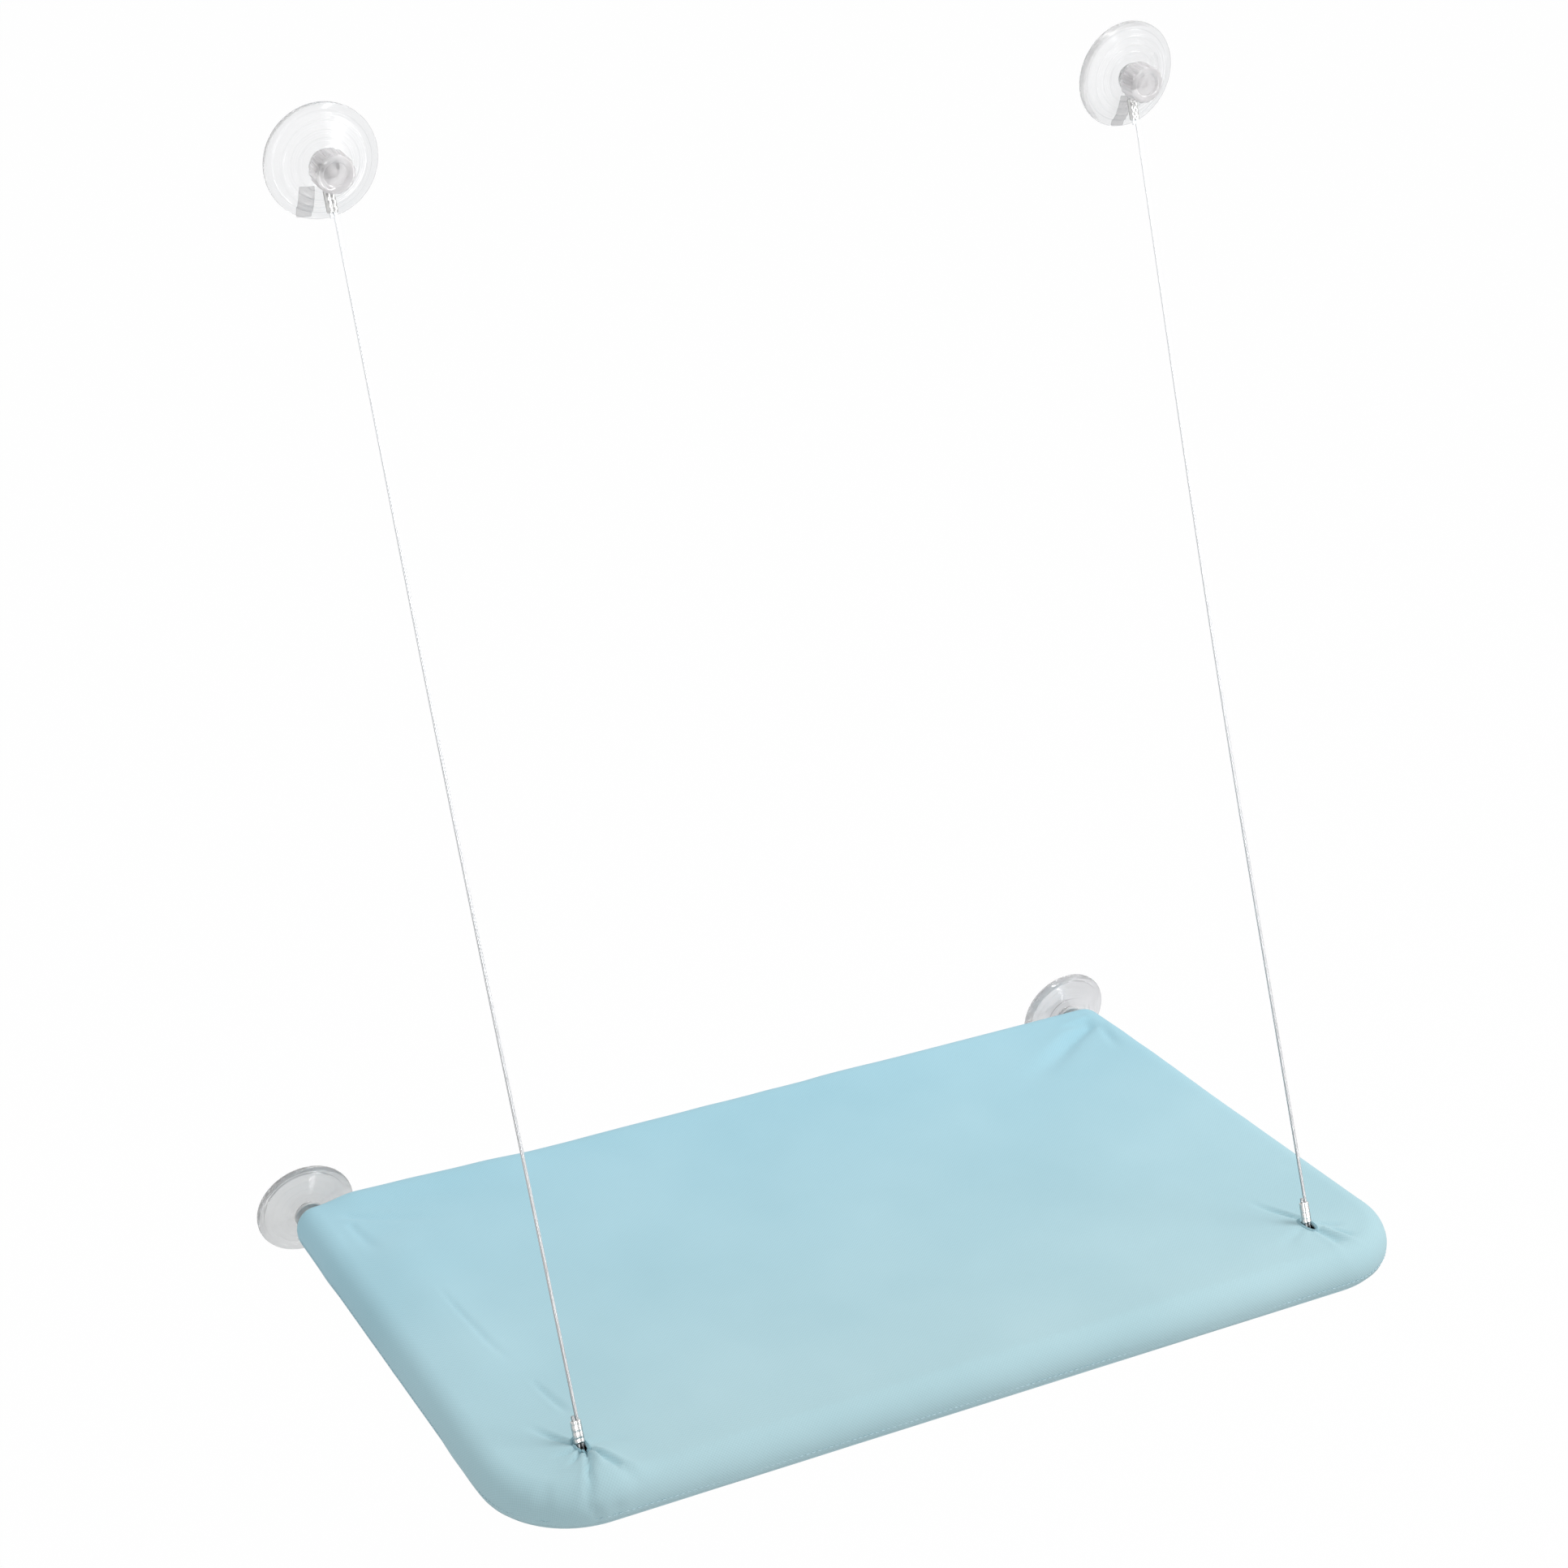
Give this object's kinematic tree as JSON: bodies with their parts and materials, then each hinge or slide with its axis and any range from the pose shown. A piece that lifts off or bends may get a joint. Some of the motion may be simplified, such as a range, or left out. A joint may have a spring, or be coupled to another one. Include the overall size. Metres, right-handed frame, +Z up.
{
  "type": "window mounted cat perch",
  "caption": "Cloth covered pet shelf that hinges on suction cups low on a window and hangs at its front corners from slanting steel cables on higher suction cups",
  "frame": {"origin": "on the plane of the window pane, midway between the centres of the two lower suction cups", "axes": "+Y into the window, so the room and the bed lie towards -Y; +Z up; +X to the right seen from the room"},
  "size_m": [0.593, 0.366, 0.706],
  "materials": {
    "clear_cup": "clear soft vinyl, glossy",
    "clear_knob": "clear hard plastic, glossy, ribbed",
    "steel": "zinc plated",
    "cable_wire": "stranded stainless wire",
    "ferrule": "pressed, satin",
    "frame_tube": "mill finish, hidden by the cover",
    "corner_plastic": "moulded, hidden by the cover",
    "cover_cloth": "soft light blue woven cloth",
    "binding": "stitched edge binding",
    "tape": "hook and loop tape"
  },
  "bodies": {
    "window_side": {"cable_ferrule_upper_left": "ferrule", "cable_ferrule_upper_right": "ferrule", "cable_left": "cable_wire", "cable_loop_upper_left": "cable_wire", "cable_loop_upper_right": "cable_wire", "cable_right": "cable_wire", "hex_nut_left": "steel", "hex_nut_right": "steel", "hinge_strap_left": "steel", "hinge_strap_right": "steel", "stud_lower_left": "steel", "stud_lower_right": "steel", "stud_upper_left": "steel", "stud_upper_right": "steel", "suction_cup_lower_left": "clear_cup", "suction_cup_lower_right": "clear_cup", "suction_cup_upper_left": "clear_cup", "suction_cup_upper_right": "clear_cup", "washer_left": "steel", "washer_right": "steel"},
    "bed": {"cable_ferrule_lower_left": "ferrule", "cable_ferrule_lower_right": "ferrule", "cable_loop_lower_left": "cable_wire", "cable_loop_lower_right": "cable_wire", "closure_hook_tape": "tape", "closure_loop_tape": "tape", "cover_bottom": "cover_cloth", "cover_rear_flap": "cover_cloth", "cover_top": "cover_cloth", "front_corner_left": "corner_plastic", "front_corner_right": "corner_plastic", "front_tube": "frame_tube", "hinge_pin_left": "steel", "hinge_pin_right": "steel", "rear_corner_left": "corner_plastic", "rear_corner_right": "corner_plastic", "rear_tube": "frame_tube", "side_tube_left": "frame_tube", "side_tube_right": "frame_tube", "slit_binding_left": "binding", "slit_binding_right": "binding"},
    "thumb_nut_left_body": {"thumb_nut_left": "clear_knob"},
    "thumb_nut_right_body": {"thumb_nut_right": "clear_knob"}
  },
  "joints": [
    {"name": "bed_fold", "type": "hinge", "parent": "window_side", "child": "bed", "pos_m": [0, -0.027, 0.0035], "axis": [-1, 0, 0], "range_deg": [0, 75], "deforming": ["cable_left", "cable_right"]},
    {"name": "thumb_nut_left_turn", "type": "hinge", "parent": "window_side", "child": "thumb_nut_left_body", "pos_m": [-0.2365, -0.017, 0.646], "axis": [0, -1, 0], "continuous": true},
    {"name": "thumb_nut_right_turn", "type": "hinge", "parent": "window_side", "child": "thumb_nut_right_body", "pos_m": [0.2365, -0.017, 0.646], "axis": [0, -1, 0], "continuous": true}
  ]
}
